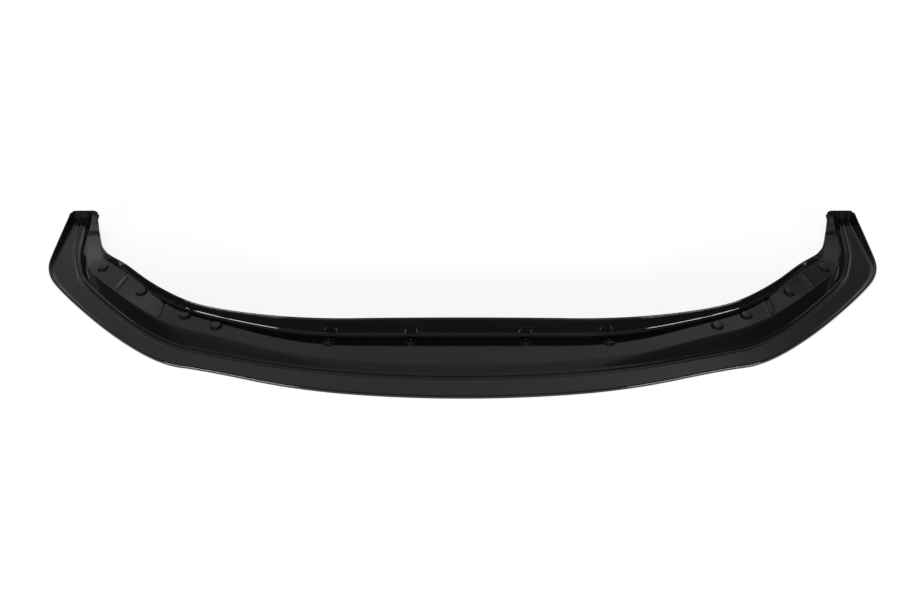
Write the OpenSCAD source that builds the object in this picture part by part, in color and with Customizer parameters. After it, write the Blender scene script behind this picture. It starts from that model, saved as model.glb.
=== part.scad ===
// Front splitter lip for a passenger car: one moulded sheet, C-shaped in plan, lying right side up.
// The nose points to -Y, the wing tips to +Y, and the rim along the nose rests on Z = 0.
// The sheet is lofted through cross sections that run from the outer edge inward over the rim, blade,
// groove, riser and seat flange to the rear wall. The right half is the mirror image of the left.

/* [Overall] */
// Width over both wings
width = 1730; // [1400:10:1900]
// Depth from the nose to the wing tips
depth = 543; // [440:1:640]
// Depth of the cross section on the centre line, from the nose to the top of the rear wall
section_depth = 162; // [150:1:180]
// Thickness of the moulded sheet
sheet_t = 3; // [2.4:0.1:3.6]

/* [Rim and blade] */
// Height of the turned-down rim along the nose
rim_h = 7; // [6:0.5:10]
// Height of the rim along the wing fences
rim_fence_h = 4.6; // [4.2:0.1:6]
// Radius of the bend between rim and blade
rim_bend_r = 4; // [3.6:0.1:4.2]
// Rise of the small lip on the blade side of the groove
groove_lip = 0.8; // [0.4:0.1:1.2]
// Depth of the groove below the blade
groove_depth = 1; // [0.4:0.1:1.4]
// Width of the groove, lip to bead
groove_w = 8; // [6:0.5:9]
// Rise of the bead at the foot of the riser
bead_rise = 1.2; // [0.8:0.1:1.6]
// Widest ledge between the groove's bead and the riser, at the tips
ledge_w = 2.5; // [1:0.5:3]

/* [Riser, seat and wall] */
// Height of the seat flange's edge above the ground plane in the wings
seat_h = 30; // [26:1:38]
// Fall of the seat flange from the crease to the shoulder on the centre line
seat_fall = 4; // [2:0.5:6]
// Height of the rear wall above the seat on the centre line
wall_h = 41.4; // [32:0.1:50]
// Setback of the seat's edge from the crease, where the fillet starts
crease_set = 6; // [4:0.5:8]

/* [Wing tips] */
// Height of the fence above the blade at the tip
fence_h = 20; // [12:1:26]
// Lean of the end wall from the horizontal, in degrees
end_lean = 56; // [45:1:70]
// Corner radius of the tip's outline
tip_r = 14; // [10:1:18]
// Rise of the seat's joggle beside the tip
joggle_h = 4; // [2:0.5:5]
// Run of that joggle's front face
joggle_run = 8; // [6:1:12]
// Rise of the seat up to the foot of the end wall
end_lift = 3; // [1:0.5:3.5]
// Run of that rise
end_lift_run = 25; // [15:1:30]

/* [Bosses] */
// Diameter of a boss at its foot
boss_foot_d = 26; // [23:1:28]
// Diameter of a boss at its flat top
boss_top_d = 19; // [17:1:20]
// Height of a boss above the seat's surface
boss_h = 4.5; // [4:0.5:6]
// Depth to which a boss is rooted in the sheet
boss_root = 1.4; // [1.2:0.1:1.6]
// Diameter of the pilot hole in each boss
pilot_d = 3.2; // [2.5:0.1:4]

/* [Cross beads] */
// Height of the flat-topped beads across the wing seats
cross_h = 1.1; // [0.6:0.1:1.5]
// Width of those beads at their foot
cross_w = 11; // [8:0.5:12]
// Run of each flank of those beads
cross_flank = 1.3; // [1:0.1:2.4]

/* [Hidden] */
$fn = 48;
// Cross sections in each stretch between control rows, and over the end wall
stretch_steps = 6;
end_steps = 4;
// Overlap past a face that is cut through
overrun = 1;

// Control rows from the centre line to the wing tip, each in shares:
// outer edge as shares of the half width and of the depth, section's turn as a share of a right angle
plan_shares = [
    [0, 0, 0],
    [0.1233, 0, 0],
    [0.3599, 0.039, 0],
    [0.5786, 0.138, 0],
    [0.6721, 0.163, 0.01],
    [0.8023, 0.314, 0.12],
    [0.9435, 0.536, 0.48],
    [1.0032, 0.655, 0.73],
    [0.9962, 0.797, 0.91],
    [0.9878, 0.945, 1]
];
// Distance inward along the section, as shares of the centre section's depth:
// fence foot, groove, shoulder, crease, top of the rear wall
reach_shares = [
    [0.028, 0.31, 0.517, 0.974, 0.999],
    [0.028, 0.31, 0.517, 0.974, 0.999],
    [0.028, 0.3, 0.471, 0.828, 0.852],
    [0.028, 0.263, 0.507, 0.784, 0.796],
    [0.027, 0.313, 0.545, 0.889, 0.904],
    [0.021, 0.305, 0.508, 0.856, 0.869],
    [0.031, 0.267, 0.39, 0.67, 0.721],
    [0.062, 0.387, 0.562, 0.731, 0.772],
    [0.055, 0.231, 0.422, 0.549, 0.56],
    [0.057, 0.176, 0.309, 0.385, 0.396]
];
// Seat edge's height and the seat's fall, then the rear wall's and the fence's heights, as shares of each,
// and the rounding of the shoulder as a share of the riser's run
height_shares = [
    [0.55, 1, 1, 0, 0.7],
    [0.55, 1, 1, 0, 0.7],
    [0.617, 0.6, 0.918, 0, 0.6],
    [0.833, 0.55, 0.457, 0, 0.4],
    [1, 0.6, 0.551, 0, 0.28],
    [1, 0.6, 0.444, 0, 0.25],
    [0.9, 0.5, 0.222, 0.05, 0.25],
    [0.75, 0.4, 0.101, 0.3, 0.25],
    [0.6, 0.3, 0.048, 0.7, 0.25],
    [0.517, 0.2, 0.039, 1, 0.25]
];
// Where the joggle's front face starts, as a share of the depth
joggle_share = 0.842;
// Where the seat's rise towards the end wall starts, as a share of the depth
end_lift_share = 0.9;
// Which part of a row is lifted there: the seat's height alone
seat_only_shares = [0, 0, 0, 0, 0, 0, 0, 0, 1, 0, 0, 0, 0];
// Share of the end wall's height reached at each of its cross sections
end_rise_shares = [0.12, 0.4, 0.7, 1];
// Places along the riser's curve, foot to shoulder
riser_shares = [0, 0.35, 0.62, 0.82];
// Least foot of the rim's bend and the inset of its middle, as shares of its radius, and the height
// half way up the fence's inner face as a share of the fence's height
bend_foot_share = 1.5;
bend_middle_share = 0.293;
fence_middle_share = 0.4;
// Rise of the crease's fillet, as shares of its setback and of the rear wall's height
crease_rise_share = 0.33;
crease_wall_share = 0.25;
// Share of the fence's height at which the rim's hollow has closed
rim_close_share = 0.5;

// Boss pairs: left and right X as shares of the half width, Y as a share of the depth,
// and the seat's surface there as a share of the seat's height
boss_shares = [
    [-0.859, 0.865, 0.645, 0.866],
    [-0.750, 0.763, 0.500, 0.967],
    [-0.636, 0.649, 0.374, 0.919],
    [-0.561, 0.579, 0.325, 0.801],
    [-0.302, 0.330, 0.254, 0.589],
    [-0.117, 0.142, 0.259, 0.539]
];
// Cross beads: the stretch that each lies in, and its place along it on the right and the left half
cross_shares = [
    [4, 0.85, 0.72],
    [5, 0.86, 0.78]
];
// Where a cross bead starts and ends between shoulder and crease
cross_span_shares = [0.1, 0.86];

half_w = width / 2;
nose_y = -depth / 2;
last_row = len(plan_shares) - 1;
// The end wall fills what is left of the depth behind the last control row
end_run = depth * (1 - plan_shares[last_row][1]) - tip_r - sheet_t * sin(end_lean);

// One control row with real sizes, and its parts by name
function edge_x(r) = r[0];
function edge_y(r) = r[1];
function turn(r) = r[2];
function fence_foot(r) = r[3];
function groove(r) = r[4];
function shoulder(r) = r[5];
function crease(r) = r[6];
function wall_top(r) = r[7];
function seat_z(r) = r[8];
function fall(r) = r[9];
function wall_rise(r) = r[10];
function fence_rise(r) = r[11];
function rounding(r) = r[12];
function row(i) = concat(
    [plan_shares[i][0] * half_w, plan_shares[i][1] * depth, plan_shares[i][2] * 90],
    reach_shares[i] * section_depth,
    [
        height_shares[i][0] * seat_h,
        height_shares[i][1] * seat_fall,
        height_shares[i][2] * wall_h,
        height_shares[i][3] * fence_h,
        height_shares[i][4]
    ]
);
rows = [for (i = [0:last_row]) row(i)];

// Smooth curve that starts at the first row, ends at the last and touches the lines between the others
function stretch_start(i) = i == 1 ? rows[0] : (rows[i - 1] + rows[i]) / 2;
function stretch_end(i) = i == last_row - 1 ? rows[last_row] : (rows[i] + rows[i + 1]) / 2;
function station(i, s) =
    (1 - s) * (1 - s) * stretch_start(i) + 2 * s * (1 - s) * rows[i] + s * s * stretch_end(i);
function smooth(s) = let (c = min(1, max(0, s))) c * c * (3 - 2 * c);

// The seat steps up where the section has reached the joggle beside the tip, and rises again to the end wall
function stepped(r, height, share, run) = height * smooth((edge_y(r) - share * depth) / run);
function joggled(r) =
    r + seat_only_shares
        * (stepped(r, joggle_h, joggle_share, joggle_run) + stepped(r, end_lift, end_lift_share, end_lift_run));

// Points of a section's line that lie on the rim
rim_point_count = 4;

// Upper line of a cross section in its own plane: [distance inward from the outer edge, height].
// detail is 1 for the true surface and 0 for the plain course that the underside follows.
// bead is the height of a cross bead at this section.
function seat_run(r) = crease(r) - crease_set - shoulder(r);
// Drop below the shoulder at v of the riser's run, as a share of the whole: rounded at first, then straight
function riser_drop(v, e) = (norm([v, e]) - e) / (norm([1, e]) - e);
function riser_point(r, u) =
    let (
        foot = groove(r) + groove_w + ledge_w * fence_rise(r) / fence_h,
        run = shoulder(r) - foot,
        straight = fall(r) / seat_run(r) * run,
        whole = seat_z(r) - fall(r) - rim_h - bead_rise
    )
    [
        foot + run * u,
        seat_z(r) - fall(r) - straight * (1 - u) - (whole - straight) * riser_drop(1 - u, rounding(r))
    ];
function seat_point(r, u, lift) =
    [shoulder(r) + seat_run(r) * u, seat_z(r) - fall(r) * (1 - u) + lift];
function upper_line(r, detail, bead) =
    let (
        rim = rim_h + (rim_fence_h - rim_h) * min(1, fence_rise(r) / fence_h),
        edge_z = rim_h + fence_rise(r),
        bend = rim_bend_r * bend_middle_share,
        foot = max(fence_foot(r), rim_bend_r * bend_foot_share),
        half_groove = groove_w / 2,
        span = cross_span_shares,
        near = max(span[0], sheet_t / 2 / seat_run(r))
    )
    concat(
        [
            [0, edge_z - rim],
            [0, edge_z - rim_bend_r],
            [bend, edge_z - bend],
            [rim_bend_r, edge_z],
            [(rim_bend_r + foot) / 2, rim_h + fence_rise(r) * fence_middle_share],
            [foot + sheet_t / 2, rim_h],
            [(foot + groove(r)) / 2, rim_h],
            [groove(r) - groove_w, rim_h],
            [groove(r) - half_groove, rim_h + detail * groove_lip],
            [groove(r), rim_h - detail * groove_depth],
            [groove(r) + half_groove, rim_h + detail * bead_rise]
        ],
        [for (u = riser_shares) riser_point(r, u)],
        [
            seat_point(r, 0, 0),
            seat_point(r, near, bead),
            seat_point(r, (near + span[1]) / 2, bead),
            seat_point(r, span[1], bead),
            seat_point(r, 1, 0),
            [crease(r), seat_z(r) + min(wall_rise(r) * crease_wall_share, crease_set * crease_rise_share)],
            [wall_top(r), seat_z(r) + wall_rise(r)]
        ]
    );

// Under line: the upper line moved square to itself by the sheet's thickness. Behind the rim it keeps
// the rim's hollow, which closes as the fence rises.
function square_to(line, i) =
    let (
        a = line[max(0, i - 1)],
        b = line[min(len(line) - 1, i + 1)],
        along = (b - a) / norm(b - a)
    )
    [along[1], -along[0]];
function lower_line(r) =
    let (
        line = upper_line(r, 0, 0),
        offset_line = [for (i = [0:len(line) - 1]) line[i] + sheet_t * square_to(line, i)],
        closing = min(1, fence_rise(r) / fence_h / rim_close_share),
        first = line[0] + [sheet_t, 0],
        flat = offset_line[rim_point_count] - first
    )
    [
        for (i = [0:len(line) - 1])
        i == 0 ? first
        : i < rim_point_count ? offset_line[i] * (1 - closing) + (first + flat * i / rim_point_count) * closing
        : offset_line[i]
    ];

// How far the tip's outline stands out behind a straight cut, with both corners rounded
function corner_bulge(d, w) =
    let (inset = max(0, tip_r - max(0, min(d, w - d))))
    sqrt(tip_r * tip_r - inset * inset);

// A line placed in space. The turn swings it from +Y at the centre line to inward at the tip, and each
// point moves out with the tip's outline as far as the upper line's point above it does.
function placed(r, line, bulge) =
    let (guide = upper_line(r, 0, 0))
    [
        for (i = [0:len(line) - 1])
        [
            edge_x(r) - line[i][0] * sin(turn(r)),
            nose_y + edge_y(r) + line[i][0] * cos(turn(r)) + bulge * corner_bulge(guide[i][0], crease(r)),
            line[i][1]
        ]
    ];
function reversed(points) = [for (i = [len(points) - 1:-1:0]) points[i]];
function loop(r, bulge, bead) =
    concat(placed(r, upper_line(r, 1, bead), bulge), reversed(placed(r, lower_line(r), bulge)));

// Sections of the end wall: the last one moved on and raised
function raised(line, top_z, rise) = [for (p = line) [p[0], p[1] + max(0, top_z - p[1]) * rise]];
// The rim's lower points stay under it, each a step higher than the one before
function raised_lower(line, top_z, rise) =
    [
        for (i = [0:len(line) - 1])
        let (short = sheet_t * max(0, 1 - i / rim_point_count))
        raised([line[i]], top_z - short, rise)[0]
    ];
function raised_upper(line, top_z, rise) =
    let (all = raised(line, top_z, rise))
    [for (i = [0:len(line) - 1]) i < rim_point_count ? line[i] : all[i]];
function shifted(points, dy) = [for (p = points) p + [0, dy, 0]];
function end_loop(k) =
    let (
        r = joggled(rows[last_row]),
        rise = end_rise_shares[k],
        top_z = rim_h + fence_h,
        dy = end_run * (k + 1) / end_steps,
        lower_dy = sheet_t * sin(end_lean) * min(1, 2 * rise),
        upper = raised_upper(upper_line(r, 1, 0), top_z, rise),
        lower = raised_lower(lower_line(r), top_z - sheet_t * cos(end_lean), rise)
    )
    concat(
        shifted(placed(r, upper, 1), dy),
        reversed(shifted(placed(r, lower, 1), dy + lower_dy))
    );

// Sections of one stretch, as [place along it, height of a cross bead]: evenly spaced, with four more
// where a cross bead lies. side is 1 for the right half and 2 for the left.
function stretch_places(i, side) =
    let (
        even = [for (j = [0:stretch_steps - 1]) j / stretch_steps],
        here = [for (c = cross_shares) if (c[0] == i) c[side]]
    )
    len(here) == 0
        ? [for (s = even) [s, 0]]
        : let (
            a = stretch_start(i),
            b = stretch_end(i),
            length = norm([edge_x(b) - edge_x(a), edge_y(b) - edge_y(a)]),
            half = cross_w / 2 / length,
            flank = cross_flank / length,
            from = here[0] - half,
            to = here[0] + half
        )
        concat(
            [for (s = even) if (s < from) [s, 0]],
            [[from, 0], [from + flank, cross_h], [to - flank, cross_h], [to, 0]],
            [for (s = even) if (s > to) [s, 0]]
        );
function half_loops(side) = concat(
    [
        for (i = [1:last_row - 1])
        for (place = stretch_places(i, side))
        let (s = place[0])
        loop(joggled(station(i, s)), i == last_row - 1 ? s * s : 0, place[1])
    ],
    [loop(joggled(rows[last_row]), 1, 0)],
    [for (k = [0:end_steps - 1]) end_loop(k)]
);
function mirrored(points) = [for (p = points) [-p[0], p[1], p[2]]];
right_loops = half_loops(1);
left_loops = half_loops(2);
loops = concat(
    [for (j = [len(left_loops) - 1:-1:1]) mirrored(left_loops[j])],
    right_loops
);

// The sheet: all sections joined into one closed skin
module sheet() {
    n = len(loops[0]);
    m = len(loops);
    line_count = n / 2;
    sides = [
        for (j = [0:m - 2])
        for (i = [0:n - 1])
        let (
            i2 = (i + 1) % n,
            a = j * n + i,
            b = j * n + i2,
            c = (j + 1) * n + i2,
            d = (j + 1) * n + i
        )
        each [[a, b, c], [a, c, d]]
    ];
    caps = [
        for (end = [0, 1])
        for (i = [0:line_count - 2])
        let (
            base = end * (m - 1) * n,
            a = base + i,
            b = base + i + 1,
            c = base + n - 2 - i,
            d = base + n - 1 - i
        )
        each end == 0 ? [[b, a, d], [b, d, c]] : [[a, b, c], [a, c, d]]
    ];
    polyhedron(points = [for (l = loops) each l], faces = concat(sides, caps), convexity = 8);
}

// Places of all bosses, each at the seat's surface
boss_places = [
    for (b = boss_shares)
    each [for (side = [0, 1]) [b[side] * half_w, nose_y + b[2] * depth, b[3] * seat_h]]
];
boss_slope = (boss_foot_d - boss_top_d) / boss_h;

module boss() {
    translate([0, 0, -boss_root])
        cylinder(d1 = boss_foot_d + boss_root * boss_slope, d2 = boss_top_d, h = boss_h + boss_root);
}

// The hollow under a boss keeps the sheet's thickness, and the pilot hole runs through its top
module boss_hollow() {
    deep = 2 * sheet_t;
    translate([0, 0, -deep])
        cylinder(
            d1 = boss_foot_d + deep * boss_slope - 2 * sheet_t,
            d2 = boss_top_d - 2 * sheet_t,
            h = boss_h - sheet_t + deep
        );
    cylinder(d = pilot_d, h = boss_h + overrun);
}

module splitter_lip() {
    color("#0b0b0c")
    difference() {
        union() {
            sheet();
            for (place = boss_places)
                translate(place)
                    boss();
        }
        for (place = boss_places)
            translate(place)
                boss_hollow();
    }
}

splitter_lip();
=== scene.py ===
"""Front splitter lip: the moulded sheet at full smoothness, its finish, the studio and the camera."""
import math

import bpy
import numpy as np
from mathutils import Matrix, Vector


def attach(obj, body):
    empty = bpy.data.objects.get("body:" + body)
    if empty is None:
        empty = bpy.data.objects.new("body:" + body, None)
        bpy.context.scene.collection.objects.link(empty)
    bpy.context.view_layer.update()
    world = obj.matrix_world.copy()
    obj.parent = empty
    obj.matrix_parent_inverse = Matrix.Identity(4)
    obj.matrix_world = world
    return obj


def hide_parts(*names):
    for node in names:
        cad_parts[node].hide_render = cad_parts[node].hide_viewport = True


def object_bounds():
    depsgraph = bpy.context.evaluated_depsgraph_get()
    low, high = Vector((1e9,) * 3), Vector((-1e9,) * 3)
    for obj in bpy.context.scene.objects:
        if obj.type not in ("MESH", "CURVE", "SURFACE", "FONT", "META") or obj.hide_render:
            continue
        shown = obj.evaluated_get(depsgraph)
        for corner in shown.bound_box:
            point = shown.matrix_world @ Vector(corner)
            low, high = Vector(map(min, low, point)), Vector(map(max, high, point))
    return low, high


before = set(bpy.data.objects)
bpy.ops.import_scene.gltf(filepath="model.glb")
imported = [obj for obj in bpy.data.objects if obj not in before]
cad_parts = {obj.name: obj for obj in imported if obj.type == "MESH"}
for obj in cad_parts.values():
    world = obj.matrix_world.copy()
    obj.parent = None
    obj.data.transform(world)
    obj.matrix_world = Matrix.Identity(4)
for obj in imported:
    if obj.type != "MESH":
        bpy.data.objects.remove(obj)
cad_lo, cad_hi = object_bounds()

MM = 0.001

# Sizes of the part in millimetres, as in its source
WIDTH = 1730.0
DEPTH = 543.0
SECTION = 162.0
SHEET_T = 3.0
RIM_H = 7.0
RIM_FENCE_H = 4.6
BEND_R = 3.0
# rounding of the rim's lower edge
EDGE_R = 0.8
LIP_RISE = 0.8
GROOVE_DEPTH = 1.0
GROOVE_W = 8.0
BEAD_RISE = 1.2
LEDGE_W = 2.5
SEAT_H = 30.0
SEAT_FALL = 4.0
WALL_H = 41.4
CREASE_SET = 6.0
# the crease's fillet at each control row, along the seat and up the wall
FILLET_SEAT = np.array([10.0, 10.0, 9.0, 6.0, 5.0, 5.0, 4.0, 3.0, 3.0, 3.0])
FILLET_WALL = np.array([4.5, 4.5, 4.5, 4.5, 5.0, 5.0, 4.0, 2.5, 2.0, 2.0])
FENCE_H = 20.0
END_LEAN = math.radians(56.0)
TIP_R = 14.0
JOGGLE_H = 4.0
JOGGLE_RUN = 8.0
JOGGLE_SHARE = 0.842
END_LIFT = 3.0
END_LIFT_RUN = 25.0
END_LIFT_SHARE = 0.9
CROSS_H = 1.1
CROSS_W = 11.0
CROSS_FLANK = 1.3
CROSS_SPAN = (0.1, 0.86)
BOSS_FOOT_R = 13.0
BOSS_TOP_R = 9.5
BOSS_H = 4.5
BOSS_ROOT = 1.4
BOSS_ROUND = 1.4
PILOT_R = 1.6

# Shares and steps of one cross section
RIM_STEPS = 8
FENCE_STEPS = 9
BLADE_STEPS = 8
GROOVE_STEPS = 5
RISER_STEPS = 18
CREASE_STEPS = 11
WALL_STEPS = 6
# places along the seat, closer together where the cross beads end
SEAT_U = np.concatenate([
    np.linspace(0, 0.14, 6)[1:],
    np.linspace(0.14, 0.74, 13)[1:],
    np.linspace(0.74, 1, 8)[1:],
])
# ends of the cross beads: run and overhang, as shares of the seat's run
BEAD_FADE = 0.08
BEAD_OVER = 0.06
# least foot of the rim's bend, as a share of its radius
BEND_FOOT = 1.5
# run of the fence's foot past its control point
FENCE_FOOT = 3
# control points of the fence's inner face: along, down, along
FENCE_CURVE = (0.3, 0.15, 0.42)
# how far the ledge starts behind the bead on the plain lower face, and its height there
PLAIN_BEAD = 0.4
PLAIN_RISE = 0.5
# the wall starts this share of its height over the seat, at most this high
WALL_START = 0.25
WALL_START_MAX = 2.0
WALL_START_LEFT = 0.3
# most that the wall's rounded top and its fillet take of its length
TOP_SHARE = 0.3
FILLET_SHARE = 0.6
# share of the fence's height at which the rim's hollow has closed
RIM_CLOSE = 0.5
# points around each rounded edge of the sheet
CAP = 6
# sections per control stretch: spacing at the wings and at the centre
WING_STEP = 5.6
CENTRE_STEP = 9.0
CENTRE_STRETCHES = 2
LEAST_STEPS = 4
CHORDS = 21
# sections over each flank of a cross bead, and the room kept beside them
FLANK_STEPS = 6
FLANK_ROOM = 0.3

# The end wall: how far it has risen at places along its run, and where its sections lie
END_T = np.array([0, 0.04, 0.12, 0.25, 0.5, 0.75, 1])
END_RISE = np.array([0, 0.006, 0.04, 0.13, 0.41, 0.705, 1])
END_PLACES = (0.04, 0.09, 0.15, 0.22, 0.3, 0.4, 0.5, 0.6, 0.7, 0.8, 0.9, 0.96, 1.0)
END_GAP = 0.3
END_OVER = 0.6

TINY = 1e-9

# outer edge (shares of half width and depth), turn of the section as a share of a right angle
PLAN = np.array([
    [0, 0, 0], [0.1233, 0, 0], [0.3599, 0.039, 0], [0.5786, 0.138, 0], [0.6721, 0.163, 0.01],
    [0.8023, 0.314, 0.12], [0.9435, 0.536, 0.48], [1.0032, 0.655, 0.73], [0.9962, 0.797, 0.91],
    [0.9878, 0.945, 1],
])
# fence foot, groove, shoulder, crease, wall top, as shares of the section depth
REACH = np.array([
    [0.028, 0.31, 0.517, 0.974, 0.999], [0.028, 0.31, 0.517, 0.974, 0.999],
    [0.028, 0.3, 0.471, 0.828, 0.852], [0.028, 0.263, 0.507, 0.784, 0.796],
    [0.027, 0.313, 0.545, 0.889, 0.904], [0.021, 0.305, 0.508, 0.856, 0.869],
    [0.031, 0.267, 0.39, 0.67, 0.721], [0.062, 0.387, 0.562, 0.731, 0.772],
    [0.055, 0.231, 0.422, 0.549, 0.56], [0.057, 0.176, 0.309, 0.385, 0.396],
])
# seat edge, seat fall, rear wall and fence, as shares of their full heights; rounding of the shoulder
HEIGHT = np.array([
    [0.55, 1, 1, 0, 0.7], [0.55, 1, 1, 0, 0.7], [0.617, 0.6, 0.918, 0, 0.6],
    [0.833, 0.55, 0.457, 0, 0.4], [1, 0.6, 0.551, 0, 0.28], [1, 0.6, 0.444, 0, 0.25],
    [0.9, 0.5, 0.222, 0.05, 0.25], [0.75, 0.4, 0.101, 0.3, 0.25], [0.6, 0.3, 0.048, 0.7, 0.25],
    [0.517, 0.2, 0.039, 1, 0.25],
])
# bosses: left x, right x, y, seat height there
BOSSES = np.array([
    [-0.859, 0.865, 0.645, 0.866], [-0.75, 0.763, 0.5, 0.967], [-0.636, 0.649, 0.374, 0.919],
    [-0.561, 0.579, 0.325, 0.801], [-0.302, 0.33, 0.254, 0.589], [-0.117, 0.142, 0.259, 0.539],
])
# cross beads: stretch, place along it on the right and on the left half
CROSS = ((4, 0.85, 0.72), (5, 0.86, 0.78))

# columns of a row
(EDGE_X, EDGE_Y, TURN, FOOT, GROOVE, SHOULDER, CREASE, WALL, SEAT_Z, FALL, WALL_Z, FENCE, ROUND,
 FIL_SEAT, FIL_WALL) = range(15)
LAST = len(PLAN) - 1
ROWS = np.hstack([
    PLAN * [WIDTH / 2, DEPTH, math.pi / 2],
    REACH * SECTION,
    HEIGHT * [SEAT_H, SEAT_FALL, WALL_H, FENCE_H, 1],
    FILLET_SEAT[:, None],
    FILLET_WALL[:, None],
])


def stretch_ends(i):
    """Where the spline's stretch around control row i starts and ends."""
    start = ROWS[0] if i == 1 else (ROWS[i - 1] + ROWS[i]) / 2
    end = ROWS[LAST] if i == LAST - 1 else (ROWS[i] + ROWS[i + 1]) / 2
    return start, end


def station(i, s):
    """Section values at s from 0 to 1 along stretch i."""
    start, end = stretch_ends(i)
    return (1 - s) ** 2 * start + 2 * s * (1 - s) * ROWS[i] + s * s * end


def smooth(s):
    c = np.clip(s, 0, 1)
    return c * c * (3 - 2 * c)


def joggled(r):
    """The values with the seat raised at the joggle and towards the end wall."""
    r = r.copy()
    r[SEAT_Z] += JOGGLE_H * smooth((r[EDGE_Y] - JOGGLE_SHARE * DEPTH) / JOGGLE_RUN)
    r[SEAT_Z] += END_LIFT * smooth((r[EDGE_Y] - END_LIFT_SHARE * DEPTH) / END_LIFT_RUN)
    return r


# One cross section
def bezier(points, n, first=False):
    """n steps along a Bezier curve of 3 or 4 points; its first point only when asked for."""
    p = [np.array(q, float) for q in points]
    t = np.linspace(0, 1, n + 1)[0 if first else 1:, None]
    if len(p) == 3:
        return (1 - t) ** 2 * p[0] + 2 * t * (1 - t) * p[1] + t * t * p[2]
    return ((1 - t) ** 3 * p[0] + 3 * t * (1 - t) ** 2 * p[1]
            + 3 * t * t * (1 - t) * p[2] + t ** 3 * p[3])


def eased(knots, n):
    """Smooth steps through (d, z) knots, level at each one."""
    out = []
    for (d0, z0), (d1, z1) in zip(knots[:-1], knots[1:]):
        for j in range(1, n + 1):
            s = j / n
            out.append((d0 + (d1 - d0) * s, z0 + (z1 - z0) * smooth(s)))
    return np.array(out)


def seat_lift(u, bead):
    """Height of a cross bead over the seat, fading out at both ends."""
    rise = (smooth((u - CROSS_SPAN[0] + BEAD_OVER) / BEAD_FADE)
            * smooth((CROSS_SPAN[1] + BEAD_OVER - u) / BEAD_FADE))
    return bead * rise


def upper_line(r, detail, bead):
    """Upper face as (distance inward, height); detail 0 leaves out the groove."""
    rim = RIM_H + (RIM_FENCE_H - RIM_H) * min(1, r[FENCE] / FENCE_H)
    edge_z = RIM_H + r[FENCE]
    foot = max(r[FOOT], BEND_R * BEND_FOOT)
    g = r[GROOVE]
    parts = []
    # rim: outer face and bend
    parts.append(np.array([(0, edge_z - rim + EDGE_R), (0, edge_z - BEND_R)]))
    a = np.linspace(0, math.pi / 2, RIM_STEPS + 1)[1:]
    parts.append(np.stack([BEND_R * (1 - np.cos(a)), edge_z - BEND_R + BEND_R * np.sin(a)], 1))
    # fence down to the blade
    end = foot + FENCE_FOOT
    w = end - BEND_R
    along_top, down, along_foot = FENCE_CURVE
    parts.append(bezier([
        (BEND_R, edge_z), (BEND_R + along_top * w, edge_z - down * r[FENCE]),
        (BEND_R + along_foot * w, RIM_H), (end, RIM_H)], FENCE_STEPS))
    # blade
    d = np.linspace(end, g - GROOVE_W, BLADE_STEPS + 1)[1:]
    parts.append(np.stack([d, np.full_like(d, RIM_H)], 1))
    # groove between its lip and the bead at the riser's foot
    h = GROOVE_W / 2
    top_z = r[SEAT_Z] - r[FALL]
    foot_d = g + GROOVE_W + LEDGE_W * r[FENCE] / FENCE_H
    foot_z = RIM_H + BEAD_RISE
    parts.append(eased([
        (g - GROOVE_W, RIM_H), (g - h, RIM_H + detail * LIP_RISE), (g, RIM_H - detail * GROOVE_DEPTH),
        (g + h, RIM_H + detail * BEAD_RISE)], GROOVE_STEPS))
    parts.append(np.array([(
        g + h + (1 - detail) * h * PLAIN_BEAD,
        RIM_H + BEAD_RISE * (detail + (1 - detail) * PLAIN_RISE))]))
    # riser
    u = np.linspace(0, 1, RISER_STEPS + 1)[1:]
    slope = r[FALL] / (r[CREASE] - CREASE_SET - r[SHOULDER])
    run = r[SHOULDER] - foot_d
    e = r[ROUND]
    drop = (np.hypot(1 - u, e) - e) / (math.hypot(1, e) - e)
    z = top_z - slope * run * (1 - u) - (top_z - foot_z - slope * run) * drop
    riser = np.stack([foot_d + run * u, z], 1)
    parts.append(np.array([(foot_d, foot_z)]))
    parts.append(riser)
    # seat
    seat_edge = r[CREASE] - r[FIL_SEAT]
    seat_run = seat_edge - r[SHOULDER]
    parts.append(np.stack([
        r[SHOULDER] + seat_run * SEAT_U,
        top_z + slope * seat_run * SEAT_U + seat_lift(SEAT_U, bead)], 1))
    edge = parts[-1][-1]
    # crease fillet and rear wall
    h1 = min(r[WALL_Z] * WALL_START, WALL_START_MAX)
    lean = (r[WALL] - r[CREASE]) / max(r[WALL_Z] - h1, WALL_START_LEFT)
    # where the seat's line and the wall's line meet
    foot_of_wall = r[CREASE] - lean * h1
    across = (foot_of_wall + lean * (edge[1] - r[SEAT_Z]) - edge[0]) / (1 - slope * lean)
    meet = edge + [across, slope * across]
    top = np.array([r[WALL], r[SEAT_Z] + r[WALL_Z]])
    along = top - meet
    length = max(np.linalg.norm(along), TINY)
    along /= length
    top = top - along * min(SHEET_T / 2, length * TOP_SHARE)
    length = np.linalg.norm(top - meet)
    p2 = meet + along * min(r[FIL_WALL], FILLET_SHARE * length)
    parts.append(bezier([edge, meet, p2], CREASE_STEPS))
    t = np.linspace(0, 1, WALL_STEPS + 1)[1:, None]
    parts.append(p2 + (top - p2) * t)
    return np.vstack(parts)


# points of the rim, and of the rim with the fence's upper half
N_RIM = 2 + RIM_STEPS
N_MID = N_RIM + 5


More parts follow.
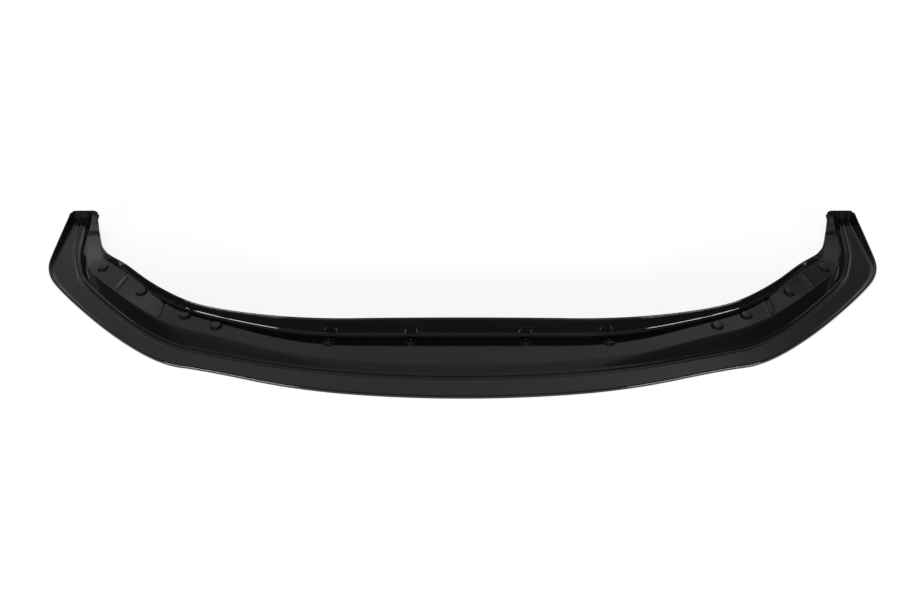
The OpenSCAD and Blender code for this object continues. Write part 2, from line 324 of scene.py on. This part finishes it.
def lower_line(r):
    """Lower face: the plain upper face set off by the sheet's thickness, with its rim hollow closing."""
    line = upper_line(r, 0, 0)
    before = np.vstack([line[:1], line[:-1]])
    after = np.vstack([line[1:], line[-1:]])
    along = after - before
    along /= np.maximum(np.linalg.norm(along, axis=1), TINY)[:, None]
    square = np.stack([along[:, 1], -along[:, 0]], 1)
    out = line + SHEET_T * square
    closing = min(1, r[FENCE] / FENCE_H / RIM_CLOSE)
    first = line[0] + [SHEET_T, 0]
    flat = out[N_MID] - first
    share = (np.arange(N_MID) / N_MID)[:, None]
    out[:N_MID] = out[:N_MID] * (1 - closing) + (first + flat * share) * closing
    out[0] = first
    return out


def corner_bulge(d, w):
    """How far the tip's outline reaches past the straight end at distance d of w, with round corners."""
    inset = np.maximum(0, TIP_R - np.maximum(0, np.minimum(d, w - d)))
    return np.sqrt(TIP_R ** 2 - inset ** 2)


def section(r, bead):
    """Upper line, top rounding, lower line back, bottom rounding; and each point's guide distance."""
    up = upper_line(r, 1, bead)
    low = lower_line(r)
    guide = upper_line(r, 0, 0)[:, 0]
    phi = np.linspace(0, math.pi, CAP + 1)[1:-1]
    # over the wall's top
    mid = (up[-1] + low[-1]) / 2
    half = (up[-1] - low[-1]) / 2
    out_dir = up[-1] - up[-2]
    out_dir /= max(np.linalg.norm(out_dir), TINY)
    bulge = min(SHEET_T / 2, np.linalg.norm(half))
    top = np.array([mid + half * math.cos(p) + out_dir * bulge * math.sin(p) for p in phi])
    mid = (up[0] + low[0]) / 2
    half = (low[0] - up[0]) / 2
    down = np.array([0, -1])
    bottom = np.array([mid + half * math.cos(p) + down * EDGE_R * math.sin(p) for p in phi])
    line = np.vstack([up, top, low[::-1], bottom])
    guides = np.concatenate([guide, np.full(CAP - 1, r[WALL]), guide[::-1], np.zeros(CAP - 1)])
    return line, guides, up, low


def placed(r, line, guides, bulge):
    """A section's points in space, turned and moved to its place."""
    out = np.empty((len(line), 3))
    out[:, 0] = r[EDGE_X] - line[:, 0] * math.sin(r[TURN])
    out[:, 1] = (-DEPTH / 2 + r[EDGE_Y] + line[:, 0] * math.cos(r[TURN])
                 + bulge * corner_bulge(guides, r[CREASE]))
    out[:, 2] = line[:, 1]
    return out


END_RUN = DEPTH * (1 - PLAN[LAST][1]) - TIP_R - SHEET_T * math.sin(END_LEAN) - END_GAP
END_TOP = RIM_H + FENCE_H - SHEET_T / 2 * math.sin(END_LEAN) + END_OVER


def end_section(t):
    """The end wall: the last section moved on and raised, t from 0 to 1."""
    r = joggled(ROWS[LAST])
    line, guides, up, low = section(r, 0)
    n = len(up)
    rise = np.interp(t, END_T, END_RISE)
    q = np.concatenate([np.linspace(0, 1, N_MID), np.ones(n - N_MID)])
    # upper points: those of the rim stay, the others rise
    w = smooth((np.arange(n) - N_RIM + 2) / 3.0)
    upz = line[:n, 1] + np.maximum(0, END_TOP - line[:n, 1]) * rise * w
    low_top = END_TOP - SHEET_T * math.cos(END_LEAN)
    short = SHEET_T * (1 - q)
    lowz = low[:, 1] + np.maximum(0, low_top - short - low[:, 1]) * rise
    low_dy = SHEET_T * math.sin(END_LEAN) * min(1, 2 * rise)
    pts = placed(r, line, guides, 1)
    dy = END_RUN * t
    pts[:, 1] += dy
    pts[:n, 2] = upz
    a = n + CAP - 1
    pts[a:a + n, 2] = lowz[::-1]
    pts[a:a + n, 1] += low_dy
    blend = min(1, 3 * rise)
    for start, first, second in ((n, n - 1, a), (a + n, a + n - 1, 0)):
        for k in range(CAP - 1):
            f = (k + 1) / CAP
            straight = pts[first] * (1 - f) + pts[second] * f
            pts[start + k] = pts[start + k] * (1 - blend) + straight * blend
    return pts


def stretch_places(i, side, base):
    """Places along one stretch with the height of a cross bead at each."""
    start, end = stretch_ends(i)
    chord = np.linalg.norm((end - start)[[EDGE_X, EDGE_Y]])
    edge = [station(i, s)[:2] for s in np.linspace(0, 1, CHORDS)]
    arc = np.linalg.norm(np.diff(edge, axis=0), axis=1).sum()
    n = max(LEAST_STEPS, int(round(arc / base)))
    even = [j / n for j in range(n)]
    here = [c[side] for c in CROSS if c[0] == i]
    if not here:
        return [(s, 0.0) for s in even]
    half = CROSS_W / 2 / chord
    flank = CROSS_FLANK / chord
    top = here[0]
    fine = []
    for q in np.linspace(0, 1, FLANK_STEPS):
        fine.append((top - half + q * flank, CROSS_H * smooth(q)))
        fine.append((top + half - q * flank, CROSS_H * smooth(q)))
    keep = [(s, 0.0) for s in even if abs(s - top) > half + FLANK_ROOM / n]
    return sorted(keep + fine)


def half_rows(side):
    """All sections of one half, from the centre line over the end wall; side 1 right, 2 left."""
    out = []
    for i in range(1, LAST):
        base = WING_STEP if i > CENTRE_STRETCHES else CENTRE_STEP
        for s, bead in stretch_places(i, side, base):
            r = joggled(station(i, s))
            line, guides, _, _ = section(r, bead)
            out.append(placed(r, line, guides, s * s if i == LAST - 1 else 0))
    r = joggled(ROWS[LAST])
    line, guides, _, _ = section(r, 0)
    out.append(placed(r, line, guides, 1))
    for t in END_PLACES:
        out.append(end_section(t))
    return out


def sheet_mesh():
    """Points and faces of the whole sheet, both halves and both rounded ends."""
    right = half_rows(1)
    left = half_rows(2)
    flip = np.array([-1.0, 1, 1])
    rows = [p * flip for p in left[:0:-1]] + right
    for p in rows:
        p[:, 0] = np.clip(p[:, 0], cad_lo[0] / MM, cad_hi[0] / MM)
    n = len(rows[0])
    m = len(rows)
    half = (n - 2 * (CAP - 1)) // 2
    verts = [tuple(p) for row in rows for p in row]
    faces = []
    for j in range(m - 1):
        for i in range(n):
            i2 = (i + 1) % n
            faces.append((j * n + i, (j + 1) * n + i, (j + 1) * n + i2, j * n + i2))
    # rounded end over the thickness of each end wall
    out_dir = np.array([0, math.cos(END_LEAN), math.sin(END_LEAN)])
    for end in (0, 1):
        base = end * (m - 1) * n
        row = rows[end * (m - 1)]
        up = row[:half]
        low = row[half + CAP - 1:half + CAP - 1 + half][::-1]
        grid = np.zeros((CAP + 1, half), int)
        grid[0] = base + np.arange(half)
        grid[CAP] = base + half + CAP - 1 + (half - 1 - np.arange(half))
        for k in range(1, CAP):
            grid[k][half - 1] = base + half + k - 1
            grid[k][0] = base + n - k
            phi = math.pi * k / CAP
            for i in range(1, half - 1):
                mid = (up[i] + low[i]) / 2
                arm = (up[i] - low[i]) / 2
                share = min(1.0, max(0.0, (i - N_RIM) / 5.0)) * min(1.0, (half - 1 - i) / 4.0)
                grid[k][i] = len(verts)
                bulge = out_dir * SHEET_T / 2 * share * math.sin(phi)
                verts.append(tuple(mid + arm * math.cos(phi) + bulge))
        for k in range(CAP):
            for i in range(half - 1):
                quad = (grid[k][i], grid[k][i + 1], grid[k + 1][i + 1], grid[k + 1][i])
                faces.append(tuple(int(v) for v in (quad[::-1] if end else quad)))
    return verts, faces


def new_object(name, verts, faces):
    """An object from points in millimetres."""
    mesh = bpy.data.meshes.new(name)
    mesh.from_pydata([tuple(float(c) * MM for c in v) for v in verts], [], faces)
    mesh.validate()
    mesh.update()
    obj = bpy.data.objects.new(name, mesh)
    bpy.context.collection.objects.link(obj)
    return obj


def revolved(profile, places, steps):
    """Closed bodies of revolution about +Z, one at each place."""
    verts, faces = [], []
    for place in places:
        base = len(verts)
        ring = len(profile)
        for k in range(steps):
            a = 2 * math.pi * k / steps
            for radius, z in profile:
                verts.append((place[0] + radius * math.cos(a),
                              place[1] + radius * math.sin(a),
                              place[2] + z))
        for k in range(steps):
            k2 = (k + 1) % steps
            for j in range(ring - 1):
                faces.append((base + k * ring + j, base + k2 * ring + j,
                              base + k2 * ring + j + 1, base + k * ring + j + 1))
        bottom = [base + k * ring for k in range(steps)]
        top = [base + k * ring + ring - 1 for k in range(steps)]
        faces.append(tuple(bottom[::-1]))
        faces.append(tuple(top))
    return verts, faces


def combined(obj, tool, operation):
    """Joins a tool to an object or cuts it out, and removes the tool."""
    mod = obj.modifiers.new("join", "BOOLEAN")
    mod.operation = operation
    mod.object = tool
    mod.solver = "MANIFOLD"
    graph = bpy.context.evaluated_depsgraph_get()
    mesh = bpy.data.meshes.new_from_object(obj.evaluated_get(graph))
    obj.modifiers.remove(mod)
    old = obj.data
    obj.data = mesh
    bpy.data.meshes.remove(old)
    spent = tool.data
    bpy.data.objects.remove(tool)
    bpy.data.meshes.remove(spent)


lip = new_object("lip_sheet", *sheet_mesh())

# The bosses: rounded buttons on the sheet, hollow underneath, with a pilot hole
BOSS_FACETS = 64
PILOT_FACETS = 24
ROUND_STEPS = 5
places = [(b[side] * WIDTH / 2, -DEPTH / 2 + b[2] * DEPTH, b[3] * SEAT_H)
          for b in BOSSES for side in (0, 1)]
slope = (BOSS_FOOT_R - BOSS_TOP_R) / BOSS_H
flank = math.atan2(BOSS_H, BOSS_FOOT_R - BOSS_TOP_R)
inset = BOSS_ROUND * math.tan(flank / 2)
profile = [(BOSS_FOOT_R + BOSS_ROOT * slope, -BOSS_ROOT)]
profile.append((BOSS_TOP_R + inset * math.cos(flank), BOSS_H - inset * math.sin(flank)))
for k in range(1, ROUND_STEPS + 1):
    a = flank * (1 - k / ROUND_STEPS)
    profile.append((BOSS_TOP_R - inset + BOSS_ROUND * math.sin(a),
                    BOSS_H - BOSS_ROUND * (1 - math.cos(a))))
buttons = new_object("buttons", *revolved(profile, places, BOSS_FACETS))
combined(lip, buttons, "UNION")

deep = 2 * SHEET_T
profile = [
    (BOSS_FOOT_R + deep * slope - SHEET_T, -deep),
    (BOSS_TOP_R - SHEET_T, BOSS_H - SHEET_T),
]
hollows = new_object("hollows", *revolved(profile, places, BOSS_FACETS))
combined(lip, hollows, "DIFFERENCE")
profile = [(PILOT_R, 0), (PILOT_R, BOSS_H + 1)]
pilots = new_object("pilots", *revolved(profile, places, PILOT_FACETS))
combined(lip, pilots, "DIFFERENCE")

# edges sharper than this many degrees stay sharp
SHARP_ANGLE = 47
lip.data.shade_smooth()
lip.data.set_sharp_from_angle(angle=math.radians(SHARP_ANGLE))


# Finish
DARK = (0.0034, 0.0034, 0.0036, 1)
LIGHT = (0.0052, 0.0052, 0.0054, 1)
ROUGHNESS = (0.045, 0.08)


def node_tree(material):
    """The material's own node tree, emptied."""
    material.use_nodes = True
    tree = material.node_tree
    tree.nodes.clear()
    return tree


def gloss_black():
    """Gloss black plastic: even colour, faint waves and orange peel."""
    mat = bpy.data.materials.new("gloss_black_plastic")
    tree = node_tree(mat)
    new, link = tree.nodes.new, tree.links.new
    out = new("ShaderNodeOutputMaterial")
    bsdf = new("ShaderNodeBsdfPrincipled")
    link(bsdf.outputs["BSDF"], out.inputs["Surface"])
    bsdf.inputs["IOR"].default_value = 1.5
    coord = new("ShaderNodeTexCoord")

    def noise(scale, detail, rough=0.5):
        n = new("ShaderNodeTexNoise")
        n.inputs["Scale"].default_value = scale
        n.inputs["Detail"].default_value = detail
        n.inputs["Roughness"].default_value = rough
        link(coord.outputs["Object"], n.inputs["Vector"])
        return n.outputs["Fac"]

    def spread(value, low, high, from_low=0.35, from_high=0.65):
        m = new("ShaderNodeMapRange")
        m.inputs["From Min"].default_value = from_low
        m.inputs["From Max"].default_value = from_high
        m.inputs["To Min"].default_value = low
        m.inputs["To Max"].default_value = high
        link(value, m.inputs["Value"])
        return m.outputs["Result"]

    cloud = noise(9.0, 4.0)
    link(spread(cloud, *ROUGHNESS), bsdf.inputs["Roughness"])
    ramp = new("ShaderNodeValToRGB")
    ramp.color_ramp.elements[0].color = DARK
    ramp.color_ramp.elements[1].color = LIGHT
    link(noise(14.0, 3.0), ramp.inputs["Fac"])
    link(ramp.outputs["Color"], bsdf.inputs["Base Color"])
    wave = new("ShaderNodeBump")
    wave.inputs["Strength"].default_value = 0.25
    wave.inputs["Distance"].default_value = 0.0006
    link(noise(22.0, 2.0), wave.inputs["Height"])
    peel = new("ShaderNodeBump")
    peel.inputs["Strength"].default_value = 0.1
    peel.inputs["Distance"].default_value = 0.00004
    link(noise(900.0, 1.0), peel.inputs["Height"])
    link(wave.outputs["Normal"], peel.inputs["Normal"])
    link(peel.outputs["Normal"], bsdf.inputs["Normal"])
    return mat


lip.data.materials.clear()
lip.data.materials.append(gloss_black())
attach(lip, "root")
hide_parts("splitter_lip")


# Studio floor
FLOOR_GLOW = 0.75
FLOOR_GREY = 0.8
FLOOR_HALF = 9000
FLOOR_Z = -0.5


def floor_material():
    """Pale floor that keeps the shadow and shows white to the camera and in reflections."""
    mat = bpy.data.materials.new("studio_floor")
    tree = node_tree(mat)
    new, link = tree.nodes.new, tree.links.new
    out = new("ShaderNodeOutputMaterial")
    diffuse = new("ShaderNodeBsdfDiffuse")
    diffuse.inputs["Color"].default_value = (FLOOR_GREY, FLOOR_GREY, FLOOR_GREY, 1)
    glow = new("ShaderNodeEmission")
    glow.inputs["Color"].default_value = (1, 1, 1, 1)
    path = new("ShaderNodeLightPath")
    most = new("ShaderNodeMath")
    most.operation = "MAXIMUM"
    link(path.outputs["Is Camera Ray"], most.inputs[0])
    link(path.outputs["Is Glossy Ray"], most.inputs[1])
    scale = new("ShaderNodeMath")
    scale.operation = "MULTIPLY"
    scale.inputs[1].default_value = FLOOR_GLOW
    link(most.outputs[0], scale.inputs[0])
    link(scale.outputs[0], glow.inputs["Strength"])
    add = new("ShaderNodeAddShader")
    link(diffuse.outputs["BSDF"], add.inputs[0])
    link(glow.outputs["Emission"], add.inputs[1])
    link(add.outputs["Shader"], out.inputs["Surface"])
    return mat


corners = [(-1, -1), (1, -1), (1, 1), (-1, 1)]
floor = new_object("floor", [(x * FLOOR_HALF, y * FLOOR_HALF, FLOOR_Z) for x, y in corners],
                   [(0, 1, 2, 3)])
floor.data.materials.append(floor_material())


# Lamps and sky
def softbox(name, direction, distance, size, strength):
    """A rectangular area light seen along a direction from the object."""
    lamp = bpy.data.lights.new(name, "AREA")
    lamp.shape = "RECTANGLE"
    lamp.size, lamp.size_y = size
    # energy so that the lamp's face has the given brightness
    lamp.energy = strength * size[0] * size[1] * math.pi
    obj = bpy.data.objects.new(name, lamp)
    bpy.context.collection.objects.link(obj)
    place = Vector(direction).normalized() * distance
    obj.location = place
    obj.rotation_euler = (-place).to_track_quat("-Z", "Y").to_euler()


# brightness of the sky by the angle over the rear horizon
SKY = ((0, 0.8), (30, 0.8), (37, 0.6), (42, 0.47), (50, 0.43), (56, 0.4), (63, 0.32), (80, 0.28),
       (90, 0.23), (104, 0.15), (120, 0.12), (150, 0.11), (160, 0.25), (172, 0.45))
# change of that brightness from the left (-0.5) to the right (0.5)
SIDES = ((-0.35, 1.05), (-0.28, 0.98), (-0.24, 0.95), (-0.185, 1.2), (-0.13, 1.2), (-0.05, 1.12),
         (0.0, 1.14), (0.08, 1.25), (0.185, 1.6), (0.25, 0.6), (0.3, 0.46))
# a second bright patch that only the outward-tilted seats of the wings mirror
PATCH = ((0, 0), (43, 0), (45.5, 0.3), (51, 0.3), (56, 0))
# how the brightness falls off far out to both sides, and where the patch starts
FAR_OUT = (0.45, 0.85, 1.0, 0.25)
PATCH_OUT = (0.2, 0.3, 0.0, 1.0)
# the lamps stand low in front on either side and draw the bright line along the crease
LAMP_AWAY = 8.0
LAMP_SIZE = (3.7, 1.6)
softbox("soft_left", (-0.64, -0.75, 0.14), LAMP_AWAY, LAMP_SIZE, 26.0)
softbox("soft_right", (0.64, -0.75, 0.14), LAMP_AWAY, LAMP_SIZE, 25.0)

world = bpy.data.worlds.new("studio")
bpy.context.scene.world = world
world.use_nodes = True
tree = world.node_tree
tree.nodes.clear()
new, link = tree.nodes.new, tree.links.new
out = new("ShaderNodeOutputWorld")
coord = new("ShaderNodeTexCoord")
split = new("ShaderNodeSeparateXYZ")
link(coord.outputs["Generated"], split.inputs[0])
# height over the rear horizon, 0 at the back, half at the zenith, 1 in front
angle = new("ShaderNodeMath")
angle.operation = "ARCTAN2"
link(split.outputs["Z"], angle.inputs[0])
link(split.outputs["Y"], angle.inputs[1])
turn = new("ShaderNodeMath")
turn.operation = "DIVIDE"
turn.inputs[1].default_value = math.pi
link(angle.outputs[0], turn.inputs[0])


def laddered(value, rungs):
    """Grey level of a value from 0 to 1, through (place, level) rungs."""
    ramp = new("ShaderNodeValToRGB")
    for index, (place, level) in enumerate(rungs):
        stops = ramp.color_ramp.elements
        stop = stops[index] if index < 2 else stops.new(place)
        stop.position = place
        stop.color = (level, level, level, 1)
    link(value, ramp.inputs["Fac"])
    return ramp.outputs["Color"]


def banded(levels):
    """Brightness by the angle over the rear horizon."""
    return laddered(turn.outputs[0], [(degrees / 180, level) for degrees, level in levels])


def stepped(value, start, end, low, high):
    """Smooth step of a value between two places."""
    step = new("ShaderNodeMapRange")
    step.interpolation_type = "SMOOTHSTEP"
    step.inputs["From Min"].default_value = start
    step.inputs["From Max"].default_value = end
    step.inputs["To Min"].default_value = low
    step.inputs["To Max"].default_value = high
    link(value, step.inputs["Value"])
    return step.outputs["Result"]


def combine(operation, first, second):
    """One sum or product of two values."""
    node = new("ShaderNodeMath")
    node.operation = operation
    link(first, node.inputs[0])
    link(second, node.inputs[1])
    return node.outputs[0]


# darker far out to the sides
span = new("ShaderNodeMath")
span.operation = "ABSOLUTE"
link(split.outputs["X"], span.inputs[0])
wide = stepped(span.outputs[0], *FAR_OUT)
place = new("ShaderNodeMapRange")
place.inputs["From Min"].default_value = -0.5
place.inputs["From Max"].default_value = 0.5
link(split.outputs["X"], place.inputs["Value"])
sides = laddered(place.outputs["Result"], [(x + 0.5, level / 2) for x, level in SIDES])
main = combine("MULTIPLY", banded(SKY), combine("MULTIPLY", wide, combine("ADD", sides, sides)))
patch = combine("MULTIPLY", banded(PATCH), stepped(span.outputs[0], *PATCH_OUT))
sky_level = combine("ADD", main, patch)
path = new("ShaderNodeLightPath")
pick = new("ShaderNodeMix")
pick.data_type = "FLOAT"
link(path.outputs["Is Camera Ray"], pick.inputs[0])
link(sky_level, pick.inputs[2])
pick.inputs[3].default_value = 1.0
sky = new("ShaderNodeBackground")
sky.inputs["Color"].default_value = (1, 1, 1, 1)
link(pick.outputs[0], sky.inputs["Strength"])
link(sky.outputs[0], out.inputs[0])

# Camera
ELEVATION = math.radians(42.0)
DISTANCE = 2518.0
TARGET = Vector((0, -40.0, 29.0))
FOCAL_PX = 1262.0
IMAGE = (920, 613)
TARGET_PX = (462.7, 305.0)
SENSOR = 36.0
back_dir = Vector((0, -math.cos(ELEVATION), math.sin(ELEVATION)))
right_dir = Vector((1, 0, 0))
up_dir = right_dir.cross(-back_dir)
shift = right_dir * (IMAGE[0] / 2 - TARGET_PX[0]) - up_dir * (IMAGE[1] / 2 - TARGET_PX[1])
offset = shift * DISTANCE / FOCAL_PX
camera_data = bpy.data.cameras.new("camera")
camera_data.sensor_width = SENSOR
camera_data.lens = FOCAL_PX / IMAGE[0] * SENSOR
camera_data.clip_end = 100
camera = bpy.data.objects.new("camera", camera_data)
bpy.context.collection.objects.link(camera)
camera.location = (TARGET + back_dir * DISTANCE + offset) * MM
camera.rotation_euler = back_dir.to_track_quat("Z", "Y").to_euler()
bpy.context.scene.camera = camera
bpy.context.scene.view_settings.view_transform = "Standard"
